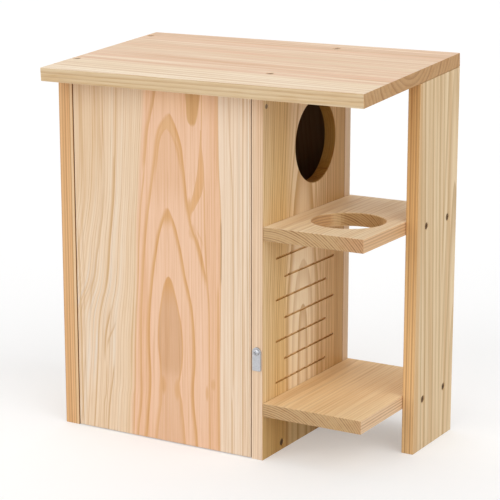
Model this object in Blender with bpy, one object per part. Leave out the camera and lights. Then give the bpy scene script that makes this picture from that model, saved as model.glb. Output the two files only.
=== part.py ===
"""Nest box with a climbing porch: plain softwood boards, screws, a hinged front door.

Metres, +Z up. The pieces are placed from the front left bottom corner of the box:
X runs right along the door, Y runs back from the door's face, Z is the height above
the ground. The parent empty house_origin then brings the middle of the whole house
over the world's origin.
"""

import math

import bmesh
import bpy
from mathutils import Vector

# Box, measured outside. Heights are from the ground.
BOX_WIDTH = 0.280
BOX_DEPTH = 0.213
FRONT_HEIGHT = 0.430
ROOF_RISE_SHARE = 0.070
LEFT_SIDE_THICKNESS = 0.020
RIGHT_SIDE_THICKNESS = 0.015
BACK_THICKNESS = 0.015
FLOOR_THICKNESS = 0.015
FLOOR_RAISE = 0.0015

# Fit between boards, and the easing of every board's edges.
JOINT_GAP = 0.0003
EDGE_EASE = 0.0006
EASE_SEGMENTS = 2

# Roof.
ROOF_THICKNESS = 0.016
ROOF_FRONT_OVERHANG = 0.034

# Door, inset between the side panels and hung from two nails near its top edge.
DOOR_THICKNESS = 0.015
DOOR_SIDE_GAP = 0.0010
DOOR_BOTTOM_GAP = 0.0010
DOOR_STOP_GAP = 0.0004
DOOR_SWING_CLEARANCE = 0.0014
PIVOT_DROP = 0.0125

# Porch: two platforms between the right side panel and a post.
PORCH_WIDTH = 0.127
PLATFORM_THICKNESS = 0.016
LOWER_PLATFORM_TOP = 0.0695
POST_THICKNESS = 0.015
POST_DEPTH = 0.107

# Round entrance in the right side panel, and what is left around it: up to the front
# height, down to the upper platform, and back to the back panel.
ENTRANCE_DIAMETER = 0.098
ENTRANCE_TOP_MARGIN = 0.023
ENTRANCE_SILL = 0.031
ENTRANCE_BACK_MARGIN = 0.025
RIM_EASE = 0.0008
LARGE_HOLE_SIDES = 64

# What is left of the upper platform around its round hole.
PLATFORM_WALL_RIM = 0.0245
PLATFORM_POST_RIM = 0.0165
PLATFORM_FRONT_RIM = 0.036

# Climbing grooves in the right side panel, between the platforms.
GROOVE_HEIGHT = 0.0028
GROOVE_DEPTH = 0.0025
GROOVE_PITCH = 0.0248
GROOVE_FROM_FRONT = 0.030
GROOVE_FROM_BACK = 0.025
GROOVE_STAGGER = 0.020
GROOVE_BELOW_PLATFORM = 0.027
GROOVE_ABOVE_PLATFORM = 0.010
GROOVE_END_STEPS = 6

# Countersunk wood screws.
SCREW_LENGTH = 0.038
SCREW_DIAMETER = 0.0040
SCREW_HEAD_DIAMETER = 0.0080
SCREW_TIP_LENGTH = 0.0060
SCREW_SINK = 0.0008
SCREW_SIDES = 16
RECESS_LENGTH = 0.0046
RECESS_WIDTH = 0.0010
RECESS_DEPTH = 0.0014

# Places of the screws. First how far those in a side panel's top and rear edges are from
# the box's side, then the others, from the edge of the board that each pair holds.
SIDE_SCREW_INSET = 0.0075
ROOF_SCREW_FROM_FRONT = 0.030
ROOF_SCREW_FROM_BACK = 0.023
BACK_SCREW_FROM_END = 0.045
BACK_SCREW_FROM_SIDE = 0.060
FLOOR_SCREW_FROM_FRONT = 0.046
FLOOR_SCREW_FROM_BACK = 0.048
PLATFORM_SCREW_FROM_FRONT = 0.028
PLATFORM_SCREW_FROM_BACK = 0.043
POST_SCREW_FROM_EDGE = 0.0245

# Nails that the door hangs on, and their free fit in the door.
NAIL_LENGTH = 0.045
NAIL_DIAMETER = 0.0030
NAIL_HEAD_DIAMETER = 0.0056
NAIL_HEAD_THICKNESS = 0.0010
NAIL_TIP_LENGTH = 0.0040
NAIL_SINK = 0.0003
PIVOT_PLAY = 0.0004

# Turn latch on the front edge of the right side panel.
LATCH_WIDTH = 0.011
LATCH_REACH = 0.0225
LATCH_THICKNESS = 0.0015
LATCH_CORNER_RADIUS = 0.0012
LATCH_HEIGHT = 0.1305
LATCH_HOLE_PLAY = 0.0004
LATCH_SCREW_LENGTH = 0.018
LATCH_SCREW_DIAMETER = 0.0036
LATCH_SCREW_HEAD_DIAMETER = 0.0076
LATCH_SCREW_HEAD_HEIGHT = 0.0024
LATCH_HEAD_ROUND_SHARE = 0.80
LATCH_ARC_STEPS = 12
LATCH_CORNER_STEPS = 3
LATCH_HEAD_STEPS = 4
LATCH_HOLE_SIDES = 24

# How far a cutter runs past what it cuts, and the merge distance of a turned shape.
OVERRUN = 0.002
MERGE_DISTANCE = 0.000001
SHARP_ANGLE = math.radians(35)

# Places worked out from the sizes above.
ROOF_TILT = math.atan(ROOF_RISE_SHARE)
ROOF_UP = Vector((0, -math.sin(ROOF_TILT), math.cos(ROOF_TILT)))
SIDE_DEPTH = BOX_DEPTH - BACK_THICKNESS
RIGHT_PANEL_X = BOX_WIDTH - RIGHT_SIDE_THICKNESS
POST_X = BOX_WIDTH + PORCH_WIDTH
OVERALL_WIDTH = POST_X + POST_THICKNESS
ROOF_FRONT_Y = -ROOF_FRONT_OVERHANG + ROOF_THICKNESS * ROOF_UP.y
POST_FRONT_Y = BOX_DEPTH - POST_DEPTH
RIGHT_MIDDLE_X = BOX_WIDTH - RIGHT_SIDE_THICKNESS / 2
FLOOR_MIDDLE_Z = FLOOR_RAISE + FLOOR_THICKNESS / 2
ENTRANCE_Y = SIDE_DEPTH - ENTRANCE_BACK_MARGIN - ENTRANCE_DIAMETER / 2
ENTRANCE_Z = FRONT_HEIGHT - ENTRANCE_TOP_MARGIN - ENTRANCE_DIAMETER / 2
UPPER_PLATFORM_TOP = ENTRANCE_Z - ENTRANCE_DIAMETER / 2 - ENTRANCE_SILL
PLATFORM_HOLE_DIAMETER = PORCH_WIDTH - PLATFORM_WALL_RIM - PLATFORM_POST_RIM
PLATFORM_HOLE_X = BOX_WIDTH + PLATFORM_WALL_RIM + PLATFORM_HOLE_DIAMETER / 2
PLATFORM_HOLE_Y = PLATFORM_FRONT_RIM + PLATFORM_HOLE_DIAMETER / 2
GROOVE_LENGTH = SIDE_DEPTH - GROOVE_FROM_FRONT - GROOVE_STAGGER - GROOVE_FROM_BACK
SCREW_HEAD_HEIGHT = (SCREW_HEAD_DIAMETER - SCREW_DIAMETER) / 2

DOOR_LEFT_X = LEFT_SIDE_THICKNESS + DOOR_SIDE_GAP
DOOR_RIGHT_X = RIGHT_PANEL_X - DOOR_SIDE_GAP
DOOR_CORNER_RISE = math.hypot(DOOR_THICKNESS / 2, PIVOT_DROP) - PIVOT_DROP
DOOR_TOP_Z = FRONT_HEIGHT - DOOR_CORNER_RISE - DOOR_SWING_CLEARANCE
PIVOT_Y = DOOR_THICKNESS / 2
PIVOT_Z = DOOR_TOP_Z - PIVOT_DROP

# Colour, roughness and metallic value of each kind of finish.
FINISHES = {
    "door_wood": ((0.78, 0.58, 0.42), 0.62, 0.0),
    "roof_wood": ((0.83, 0.64, 0.47), 0.60, 0.0),
    "left_side_wood": ((0.72, 0.46, 0.27), 0.64, 0.0),
    "right_side_wood": ((0.76, 0.58, 0.38), 0.64, 0.0),
    "back_wood": ((0.74, 0.55, 0.37), 0.66, 0.0),
    "floor_wood": ((0.70, 0.52, 0.35), 0.66, 0.0),
    "platform_wood": ((0.82, 0.62, 0.43), 0.62, 0.0),
    "post_wood": ((0.85, 0.68, 0.50), 0.62, 0.0),
    "dark_screw_steel": ((0.09, 0.08, 0.08), 0.45, 1.0),
    "bright_nail_steel": ((0.50, 0.49, 0.47), 0.40, 1.0),
    "zinc_plate": ((0.66, 0.66, 0.68), 0.32, 1.0),
}


def remove_old_objects():
    """Empty the scene before the house is built."""
    for item in list(bpy.data.objects):
        bpy.data.objects.remove(item, do_unlink=True)


def finish(name):
    """The material with this finish's colour, roughness and metallic value."""
    material = bpy.data.materials.get(name) or bpy.data.materials.new(name)
    material.use_nodes = True
    shader = material.node_tree.nodes["Principled BSDF"]
    colour, roughness, metallic = FINISHES[name]
    shader.inputs["Base Color"].default_value = (*colour, 1.0)
    shader.inputs["Roughness"].default_value = roughness
    shader.inputs["Metallic"].default_value = metallic
    return material


def mesh_from(shape, name, smooth=False):
    """Write a bmesh to a new mesh, with its faces turned outward."""
    bmesh.ops.recalc_face_normals(shape, faces=shape.faces)
    mesh = bpy.data.meshes.new(name)
    shape.to_mesh(mesh)
    shape.free()
    if smooth:
        mesh.shade_smooth()
        mesh.set_sharp_from_angle(angle=SHARP_ANGLE)
    return mesh


def prism(name, outline, run):
    """A mesh between a flat outline and the same outline moved along a vector."""
    shape = bmesh.new()
    face = shape.faces.new([shape.verts.new(point) for point in outline])
    swept = bmesh.ops.extrude_face_region(shape, geom=[face])["geom"]
    moved = [item for item in swept if isinstance(item, bmesh.types.BMVert)]
    bmesh.ops.translate(shape, verts=moved, vec=run)
    return mesh_from(shape, name)


def turned(name, profile, sides):
    """A mesh turned about Z from (radius, height) points that start and end on Z."""
    shape = bmesh.new()
    points = [shape.verts.new((radius, 0, height)) for radius, height in profile]
    edges = [shape.edges.new(pair) for pair in zip(points, points[1:])]
    bmesh.ops.spin(
        shape, geom=points + edges, axis=(0, 0, 1), cent=(0, 0, 0),
        angle=math.tau, steps=sides, use_merge=True,
    )
    bmesh.ops.remove_doubles(shape, verts=shape.verts, dist=MERGE_DISTANCE)
    return mesh_from(shape, name, smooth=True)


def arc(centre, radius, start, end, steps):
    """Points (across, up) along an arc, angles in radians from the across axis."""
    turns = [start + (end - start) * step / steps for step in range(steps + 1)]
    return [
        (centre[0] + radius * math.cos(turn), centre[1] + radius * math.sin(turn))
        for turn in turns
    ]


def place(name, mesh, parent, location=(0, 0, 0), direction=None, finish_name=None):
    """Add an object to the house. A direction is where its own -Z axis points."""
    item = bpy.data.objects.new(name, mesh)
    bpy.context.scene.collection.objects.link(item)
    item.parent = parent
    item.location = location
    if direction is not None:
        item.rotation_mode = "QUATERNION"
        item.rotation_quaternion = Vector(direction).to_track_quat("-Z", "Y")
    if finish_name:
        item.data.materials.clear()
        item.data.materials.append(finish(finish_name))
    return item


def cutter(name, mesh, parent, location=(0, 0, 0), direction=None):
    """Add a shape that only cuts others."""
    item = place(name, mesh, parent, location, direction)
    item.hide_render = True
    item.display_type = "WIRE"
    return item


def cut(piece, tool):
    """Take the tool's shape out of a piece."""
    modifier = piece.modifiers.new(tool.name, "BOOLEAN")
    modifier.operation = "DIFFERENCE"
    modifier.solver = "EXACT"
    modifier.object = tool


def roof_underside(y):
    """Height of the roof's underside at this depth."""
    return FRONT_HEIGHT + ROOF_RISE_SHARE * y


def board(name, house, left, right, outline, finish_name, origin=None):
    """A board from left to right whose end shape is an outline of (y, z) points."""
    origin = Vector(origin or (left, *outline[0]))
    corners = [Vector((left, y, z)) - origin for y, z in outline]
    mesh = prism(name, corners, Vector((right - left, 0, 0)))
    item = place(name, mesh, house, origin, finish_name=finish_name)
    ease = item.modifiers.new("eased_edges", "BEVEL")
    ease.width = EDGE_EASE
    ease.segments = EASE_SEGMENTS
    ease.limit_method = "ANGLE"
    return item


def rectangle(front, back, bottom, top):
    """The end shape of a square-cut board."""
    return [(front, bottom), (back, bottom), (back, top), (front, top)]


def under_roof(front, back):
    """The end shape of a board that stands on the ground and meets the roof."""
    front_top = roof_underside(front) - JOINT_GAP
    back_top = roof_underside(back) - JOINT_GAP
    return [(front, 0), (back, 0), (back, back_top), (front, front_top)]


def make_boards(house):
    """Every fixed board, by name."""
    porch = (BOX_WIDTH + JOINT_GAP, POST_X - JOINT_GAP)
    upper_end = rectangle(
        0, BOX_DEPTH, UPPER_PLATFORM_TOP - PLATFORM_THICKNESS, UPPER_PLATFORM_TOP
    )
    lower_end = rectangle(
        0, BOX_DEPTH, LOWER_PLATFORM_TOP - PLATFORM_THICKNESS, LOWER_PLATFORM_TOP
    )
    side_end = under_roof(0, SIDE_DEPTH - JOINT_GAP)
    back_end = under_roof(SIDE_DEPTH, BOX_DEPTH)
    post_end = under_roof(POST_FRONT_Y, BOX_DEPTH)
    floor_end = rectangle(
        DOOR_THICKNESS + DOOR_STOP_GAP, SIDE_DEPTH - JOINT_GAP,
        FLOOR_RAISE, FLOOR_RAISE + FLOOR_THICKNESS,
    )
    floor_span = (LEFT_SIDE_THICKNESS + JOINT_GAP, RIGHT_PANEL_X - JOINT_GAP)
    boards = {
        "left_side_panel": (0, LEFT_SIDE_THICKNESS, side_end, "left_side_wood"),
        "right_side_panel": (RIGHT_PANEL_X, BOX_WIDTH, side_end, "right_side_wood"),
        "back_panel": (0, BOX_WIDTH, back_end, "back_wood"),
        "floor_panel": (*floor_span, floor_end, "floor_wood"),
        "upper_platform": (*porch, upper_end, "platform_wood"),
        "lower_platform": (*porch, lower_end, "platform_wood"),
        "porch_post": (POST_X, OVERALL_WIDTH, post_end, "post_wood"),
        "roof_board": (0, OVERALL_WIDTH, roof_end(), "roof_wood"),
    }
    return {name: board(name, house, *values) for name, values in boards.items()}


def roof_end():
    """The roof's end shape: a square-cut board lying on the slope."""
    front = Vector((0, -ROOF_FRONT_OVERHANG, roof_underside(-ROOF_FRONT_OVERHANG)))
    back = Vector((0, BOX_DEPTH, roof_underside(BOX_DEPTH)))
    rise = ROOF_UP * ROOF_THICKNESS
    return [(point.y, point.z) for point in (front, back, back + rise, front + rise)]


def make_door(house):
    """The door, with its origin on the nails' axis and a bore for each nail."""
    end = rectangle(0, DOOR_THICKNESS, DOOR_BOTTOM_GAP, DOOR_TOP_Z)
    pivot = (DOOR_LEFT_X, PIVOT_Y, PIVOT_Z)
    return board("door_panel", house, DOOR_LEFT_X, DOOR_RIGHT_X, end, "door_wood", pivot)


def large_hole_mesh(name, diameter, thickness):
    """A cutter for a round hole with eased rims, centred in a board's thickness."""
    radius = diameter / 2
    face = thickness / 2
    flare = RIM_EASE + OVERRUN
    side = [(radius + flare, face + OVERRUN), (radius, face - RIM_EASE)]
    mirrored = [(r, -z) for r, z in reversed(side)]
    ends = ((0, face + OVERRUN), (0, -face - OVERRUN))
    return turned(name, [ends[0], *side, *mirrored, ends[1]], LARGE_HOLE_SIDES)


def cut_large_holes(house, boards):
    """The entrance in the right side panel and the hole in the upper platform."""
    entrance = cutter(
        "entrance_cutter",
        large_hole_mesh("entrance_cutter", ENTRANCE_DIAMETER, RIGHT_SIDE_THICKNESS),
        house,
        (RIGHT_MIDDLE_X, ENTRANCE_Y, ENTRANCE_Z),
        (1, 0, 0),
    )
    cut(boards["right_side_panel"], entrance)
    hatch = cutter(
        "platform_hole_cutter",
        large_hole_mesh("platform_hole_cutter", PLATFORM_HOLE_DIAMETER, PLATFORM_THICKNESS),
        house,
        (PLATFORM_HOLE_X, PLATFORM_HOLE_Y, UPPER_PLATFORM_TOP - PLATFORM_THICKNESS / 2),
        (0, 0, 1),
    )
    cut(boards["upper_platform"], hatch)


def cut_grooves(house, boards):
    """Round-ended grooves, one above the other and set off in turn."""
    top = UPPER_PLATFORM_TOP - PLATFORM_THICKNESS - GROOVE_BELOW_PLATFORM
    lowest = LOWER_PLATFORM_TOP + GROOVE_ABOVE_PLATFORM
    count = 1 + math.floor((top - lowest) / GROOVE_PITCH)
    radius = GROOVE_HEIGHT / 2
    quarter = math.pi / 2
    front_end = arc((radius, 0), radius, quarter, 3 * quarter, GROOVE_END_STEPS)
    back_end = arc(
        (GROOVE_LENGTH - radius, 0), radius, -quarter, quarter, GROOVE_END_STEPS
    )
    outline = [Vector((0, y, z)) for y, z in front_end + back_end]
    run = Vector((GROOVE_DEPTH + OVERRUN, 0, 0))
    mesh = prism("groove_cutter", outline, run)
    for number in range(count):
        y = GROOVE_FROM_FRONT + GROOVE_STAGGER * (number % 2)
        z = top - GROOVE_PITCH * number
        groove = cutter(
            f"groove_cutter_{number + 1}", mesh, house, (BOX_WIDTH - GROOVE_DEPTH, y, z)
        )
        cut(boards["right_side_panel"], groove)


def cross_recess(head_top):
    """A cutter for the cross in a screw's head, from above it down to its depth."""
    long = RECESS_LENGTH / 2
    short = RECESS_WIDTH / 2
    corners = [
        (long, short), (short, short), (short, long),
        (-short, long), (-short, short), (-long, short),
        (-long, -short), (-short, -short), (-short, -long),
        (short, -long), (short, -short), (long, -short),
    ]
    outline = [Vector((x, y, head_top - RECESS_DEPTH)) for x, y in corners]
    return prism("cross_recess", outline, Vector((0, 0, RECESS_DEPTH + OVERRUN)))


def with_recess(mesh, head_top, finish_name):
    """The mesh with a cross recess cut into its head."""
    blank = place("recess_blank", mesh, None, finish_name=finish_name)
    cross = cutter("recess_cutter", cross_recess(head_top), None)
    cut(blank, cross)
    graph = bpy.context.evaluated_depsgraph_get()
    result = bpy.data.meshes.new_from_object(blank.evaluated_get(graph))
    result.name = mesh.name + "_with_recess"
    for item in (blank, cross):
        bpy.data.objects.remove(item, do_unlink=True)
    return result


def wood_screw_mesh():
    """A countersunk screw; its own zero height is the face of the board."""
    radius = SCREW_DIAMETER / 2
    profile = [
        (0, -SCREW_SINK),
        (SCREW_HEAD_DIAMETER / 2, -SCREW_SINK),
        (radius, -SCREW_SINK - SCREW_HEAD_HEIGHT),
        (radius, SCREW_TIP_LENGTH - SCREW_LENGTH),
        (0, -SCREW_LENGTH),
    ]
    blank = turned("wood_screw", profile, SCREW_SIDES)
    return with_recess(blank, -SCREW_SINK, "dark_screw_steel")


def screw_hole_mesh():
    """The hole for a wood screw: a cone that widens up to the face, then a pilot."""
    cone_play = JOINT_GAP * math.sqrt(2)
    head = SCREW_HEAD_DIAMETER / 2 + cone_play
    shank = SCREW_DIAMETER / 2 + JOINT_GAP
    profile = [
        (0, OVERRUN),
        (head + SCREW_SINK + OVERRUN, OVERRUN),
        (shank, shank - head - SCREW_SINK),
        (shank, -SCREW_LENGTH - JOINT_GAP),
        (0, -SCREW_LENGTH - JOINT_GAP),
    ]
    return turned("screw_hole", profile, SCREW_SIDES)


def screw_places():
    """Each screw's name, the point on the board's face, its way in, and its boards."""
    places = []

    def add(name, point, direction, *board_names):
        places.append((name, Vector(point), Vector(direction), board_names))

    sides = (
        ("left", SIDE_SCREW_INSET, 0, (1, 0, 0)),
        ("right", BOX_WIDTH - SIDE_SCREW_INSET, BOX_WIDTH, (-1, 0, 0)),
    )
    roof_depths = (
        ("front", ROOF_SCREW_FROM_FRONT),
        ("rear", BOX_DEPTH - ROOF_SCREW_FROM_BACK),
    )
    floor_depths = (
        ("front", FLOOR_SCREW_FROM_FRONT),
        ("rear", BOX_DEPTH - FLOOR_SCREW_FROM_BACK),
    )
    back_heights = (
        ("bottom", BACK_SCREW_FROM_END),
        ("middle", roof_underside(BOX_DEPTH) / 2),
        ("top", roof_underside(BOX_DEPTH) - BACK_SCREW_FROM_END),
    )
    for side, screw_x, face_x, inward in sides:
        panel = f"{side}_side_panel"
        for end, y in roof_depths:
            seat = Vector((screw_x, y, roof_underside(y)))
            top = seat + ROOF_UP * ROOF_THICKNESS
            add(f"roof_screw_{side}_{end}", top, -ROOF_UP, "roof_board", panel)
        for end, y in floor_depths:
            point = (face_x, y, FLOOR_MIDDLE_Z)
            add(f"floor_screw_{side}_{end}", point, inward, panel, "floor_panel")
        for end, z in back_heights:
            point = (screw_x, BOX_DEPTH, z)
            add(f"back_screw_{side}_{end}", point, (0, -1, 0), "back_panel", panel)
    for side, x in (
        ("left", BACK_SCREW_FROM_SIDE), ("right", BOX_WIDTH - BACK_SCREW_FROM_SIDE)
    ):
        point = (x, BOX_DEPTH, FLOOR_MIDDLE_Z)
        add(f"back_screw_floor_{side}", point, (0, -1, 0), "back_panel", "floor_panel")

    inner_depths = (
        ("front", PLATFORM_SCREW_FROM_FRONT),
        ("rear", BOX_DEPTH - PLATFORM_SCREW_FROM_BACK),
    )
    post_depths = (
        ("front", POST_FRONT_Y + POST_SCREW_FROM_EDGE),
        ("rear", BOX_DEPTH - POST_SCREW_FROM_EDGE),
    )
    for level, top in (("upper", UPPER_PLATFORM_TOP), ("lower", LOWER_PLATFORM_TOP)):
        platform = f"{level}_platform"
        z = top - PLATFORM_THICKNESS / 2
        for end, y in inner_depths:
            point = (RIGHT_PANEL_X, y, z)
            name = f"platform_screw_{level}_{end}"
            add(name, point, (1, 0, 0), "right_side_panel", platform)
        for end, y in post_depths:
            point = (OVERALL_WIDTH, y, z)
            add(f"post_screw_{level}_{end}", point, (-1, 0, 0), "porch_post", platform)
    return places


def drive_screws(house, boards):
    """Every wood screw, each with its hole through both of its boards."""
    screw = wood_screw_mesh()
    hole = screw_hole_mesh()
    for name, point, direction, board_names in screw_places():
        place(name, screw, house, point, direction)
        tool = cutter(f"{name}_hole", hole, house, point, direction)
        for board_name in board_names:
            cut(boards[board_name], tool)


def nail_mesh():
    """A flat-headed nail; its own zero height is the face of the board."""
    radius = NAIL_DIAMETER / 2
    under_head = -NAIL_SINK - NAIL_HEAD_THICKNESS
    profile = [
        (0, -NAIL_SINK),
        (NAIL_HEAD_DIAMETER / 2, -NAIL_SINK),
        (NAIL_HEAD_DIAMETER / 2, under_head),
        (radius, under_head),
        (radius, NAIL_TIP_LENGTH - NAIL_LENGTH),
        (0, -NAIL_LENGTH),
    ]
    return turned("pivot_nail", profile, SCREW_SIDES)


def nail_hole_mesh(play):
    """The hole for a nail and its head, larger all round by the play."""
    head = NAIL_HEAD_DIAMETER / 2 + play
    shank = NAIL_DIAMETER / 2 + play
    seat = -NAIL_SINK - NAIL_HEAD_THICKNESS - play
    profile = [
        (0, OVERRUN),
        (head, OVERRUN),
        (head, seat),
        (shank, seat),
        (shank, -NAIL_LENGTH - play),
        (0, -NAIL_LENGTH - play),
    ]
    return turned("nail_hole", profile, SCREW_SIDES)


def hang_door(house, boards, door):
    """Two nails through the side panels, on which the door turns."""
    nail = nail_mesh()
    fixed_hole = nail_hole_mesh(JOINT_GAP)
    free_hole = nail_hole_mesh(PIVOT_PLAY)
    for side, x, inward in (("left", 0, (1, 0, 0)), ("right", BOX_WIDTH, (-1, 0, 0))):
        point = (x, PIVOT_Y, PIVOT_Z)
        place(f"pivot_nail_{side}", nail, house, point, inward, "bright_nail_steel")
        tight = cutter(f"pivot_nail_{side}_hole", fixed_hole, house, point, inward)
        cut(boards[f"{side}_side_panel"], tight)
        bore = cutter(f"door_bore_{side}", free_hole, house, point, inward)
        cut(door, bore)


def latch_outline():
    """The plate's outline (x, z) about its pivot: round above, square below."""
    half = LATCH_WIDTH / 2
    corner = LATCH_CORNER_RADIUS
    low = corner - LATCH_REACH
    quarter = math.pi / 2
    round_end = arc((0, 0), half, 0, 2 * quarter, LATCH_ARC_STEPS)
    left = arc((corner - half, low), corner, 2 * quarter, 3 * quarter, LATCH_CORNER_STEPS)
    right = arc((half - corner, low), corner, 3 * quarter, 4 * quarter, LATCH_CORNER_STEPS)
    return round_end + left + right


def make_latch(house, boards):
    """The turn latch, hanging clear of the door, and the screw that it turns on."""
    pivot = Vector((RIGHT_MIDDLE_X, 0, LATCH_HEIGHT))
    back_face = -JOINT_GAP
    outline = [Vector((x, back_face, z)) for x, z in latch_outline()]
    mesh = prism("latch_plate", outline, Vector((0, -LATCH_THICKNESS, 0)))
    plate = place("latch_plate", mesh, house, pivot, finish_name="zinc_plate")
    hole_radius = LATCH_SCREW_DIAMETER / 2 + LATCH_HOLE_PLAY
    reach = LATCH_THICKNESS + OVERRUN
    hole_profile = [(0, reach), (hole_radius, reach), (hole_radius, -reach), (0, -reach)]
    hole_mesh = turned("latch_hole", hole_profile, LATCH_HOLE_SIDES)
    cut(plate, cutter("latch_hole", hole_mesh, house, pivot, (0, 1, 0)))

    seat = LATCH_THICKNESS + 2 * JOINT_GAP
    place("latch_screw", latch_screw_mesh(seat), house, pivot, (0, 1, 0))
    pilot_radius = LATCH_SCREW_DIAMETER / 2 + JOINT_GAP
    pilot_end = -LATCH_SCREW_LENGTH - JOINT_GAP
    pilot_profile = [
        (0, OVERRUN), (pilot_radius, OVERRUN), (pilot_radius, pilot_end), (0, pilot_end)
    ]
    pilot_mesh = turned("latch_pilot", pilot_profile, SCREW_SIDES)
    pilot = cutter("latch_pilot", pilot_mesh, house, pivot, (0, 1, 0))
    cut(boards["right_side_panel"], pilot)


def latch_screw_mesh(seat):
    """A round-headed screw whose head sits this high over the panel's edge."""
    radius = LATCH_SCREW_DIAMETER / 2
    head = LATCH_SCREW_HEAD_DIAMETER / 2
    straight = LATCH_SCREW_HEAD_HEIGHT * (1 - LATCH_HEAD_ROUND_SHARE)
    dome = LATCH_SCREW_HEAD_HEIGHT * LATCH_HEAD_ROUND_SHARE
    quarter = math.pi / 2
    rim = arc((0, 0), 1, quarter, 0, LATCH_HEAD_STEPS)[1:]
    crown = [(head * out, seat + straight + dome * up) for out, up in rim]
    profile = [
        (0, seat + LATCH_SCREW_HEAD_HEIGHT),
        *crown,
        (head, seat),
        (radius, seat),
        (radius, SCREW_TIP_LENGTH - LATCH_SCREW_LENGTH),
        (0, -LATCH_SCREW_LENGTH),
    ]
    blank = turned("latch_screw", profile, LATCH_HOLE_SIDES)
    return with_recess(blank, seat + LATCH_SCREW_HEAD_HEIGHT, "zinc_plate")


def build_house():
    """Make the whole house in one frame."""
    remove_old_objects()
    house = bpy.data.objects.new("house_origin", None)
    bpy.context.scene.collection.objects.link(house)
    house.location = (-OVERALL_WIDTH / 2, -(ROOF_FRONT_Y + BOX_DEPTH) / 2, 0)
    boards = make_boards(house)
    door = make_door(house)
    cut_large_holes(house, boards)
    cut_grooves(house, boards)
    drive_screws(house, boards)
    hang_door(house, boards, door)
    make_latch(house, boards)
    bpy.context.view_layer.update()


build_house()
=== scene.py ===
"""Looks of the squirrel house: bare boards, brown screws, zinc latch, pale floor, soft light, camera."""

import math

import bpy
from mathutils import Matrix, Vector


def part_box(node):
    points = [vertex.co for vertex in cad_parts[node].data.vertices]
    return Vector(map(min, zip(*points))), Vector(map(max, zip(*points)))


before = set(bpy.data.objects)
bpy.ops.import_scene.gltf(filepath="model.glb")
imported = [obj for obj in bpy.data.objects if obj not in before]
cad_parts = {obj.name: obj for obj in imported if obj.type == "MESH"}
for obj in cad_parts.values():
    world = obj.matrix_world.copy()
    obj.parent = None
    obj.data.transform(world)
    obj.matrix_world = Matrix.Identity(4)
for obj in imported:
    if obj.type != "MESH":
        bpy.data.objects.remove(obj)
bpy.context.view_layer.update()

X, Y, Z = 0, 1, 2
MM = 0.001

# Camera: where it looks, from which side, how high, how far away, and its lens
CAMERA_TARGET = (0.0520, -0.0889, 0.2494)
CAMERA_SIDE_DEG = 30.36
CAMERA_HEIGHT_DEG = 13.28
CAMERA_DISTANCE = 2.0597
CAMERA_LENS = 130.72
CAMERA_SENSOR = 36.0

# Light: share of full light from the sky and from each soft lamp
SKY_LEVEL = 0.42
LAMPS = {
    "front_lamp": {"towards": (-0.25, -1.0, 0.4), "level": 0.375, "softness_deg": 60},
    "side_lamp": {"towards": (1.0, -0.3, 0.7), "level": 0.39, "softness_deg": 60},
    "top_lamp": {"towards": (-0.4, 0.4, 1.0), "level": 0.24, "softness_deg": 70},
}

# Floor: its size in metres, how pale it is, and how much it adds to that where the camera sees it
FLOOR_SIZE = 30.0
FLOOR_COLOUR = 0.73
FLOOR_CAMERA_GLOW = 0.3

# Round holes in millimetres: the entrance's (y, z, radius) and the upper platform's (x, y, radius)
ENTRANCE = (35.06, 358.0, 49.0)
HATCH = (136.5, -9.94, 43.0)

# Where the nest lies under the roof and where the grooves are in the right panel, in millimetres
NEST_LEFT, NEST_RIGHT, NEST_FRONT = -191, 54, -75
GROOVES_FRONT, GROOVES_BACK, GROOVES_LOW, GROOVES_HIGH = -72, 94, 70, 245

# How squarely a face looks along an axis where it starts to count as such, and where it fully does
FACING = (0.6, 0.9)

# Height of the wood's fibres and of the metal's scratches in metres, and roughness of bare wood
WOOD_RELIEF = 0.00012
METAL_RELIEF = 0.00004
WOOD_ROUGHNESS = 0.60

# Factors that darken or lighten any wood: broad bands, narrow streaks, fibres, sawn ends and their specks
DARK_BAND = (0.945, 0.885, 0.81)
LIGHT_BAND = (1.02, 1.04, 1.085)
DARK_STREAK = (0.905, 0.835, 0.745)
LIGHT_STREAK = (1.02, 1.045, 1.09)
DARK_FIBRE = (0.91, 0.855, 0.78)
SAWN_END = (0.84, 0.74, 0.60)
SAWN_SPECK = (0.80, 0.75, 0.68)
# Painted shade: how much darker the faces inside the nest are drawn than the bare wood they are
NEST_PAINTED_SHADE = (0.30, 0.20, 0.125)

# Back and floor boards, as linear RGB
HIDDEN_SAP = (0.84, 0.65, 0.46)
HIDDEN_HEART = (0.83, 0.575, 0.37)
HIDDEN_RING = (0.70, 0.385, 0.17)

# In millimetres: how far outside such a board the pith of its tree lies, as points of (run, distance), and
# how far from the pith the rings are wide
HIDDEN_ARCH = ((0, 8), (140, 26), (260, 38), (440, 62))
HIDDEN_WIDE_RINGS = 60

# Roof: its bands from front to back, streaks behind and in front, edges, sawn ends and dark lines
ROOF_CREAM = (0.86, 0.715, 0.535)
ROOF_PINK = (0.755, 0.53, 0.37)
ROOF_BEIGE = (0.765, 0.58, 0.41)
ROOF_TAN = (0.69, 0.47, 0.31)
ROOF_BANDS = (
    (0, ROOF_CREAM), (56, ROOF_CREAM), (78, ROOF_PINK), (104, ROOF_PINK), (130, ROOF_BEIGE),
    (182, ROOF_BEIGE), (214, ROOF_PINK), (224, ROOF_TAN), (256, ROOF_PINK),
)
ROOF_STREAK_BEHIND = (0.765, 0.495, 0.33)
ROOF_GLEAM_BEHIND = (0.89, 0.725, 0.555)
ROOF_STREAK_IN_FRONT = (0.74, 0.565, 0.365)
ROOF_GLEAM_IN_FRONT = (0.96, 0.85, 0.675)
ROOF_EDGE = (0.715, 0.535, 0.315)
ROOF_END = (0.675, 0.455, 0.26)
ROOF_LINE_ON_TOP = (0.64, 0.41, 0.25)
ROOF_LINE_AT_EDGES = (0.50, 0.30, 0.155)

# The pith of the roof's tree in millimetres: its place from the front, and how far above the board it lies
ROOF_PITH_PLACE = 132
ROOF_PITH_ABOVE = 34

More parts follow.
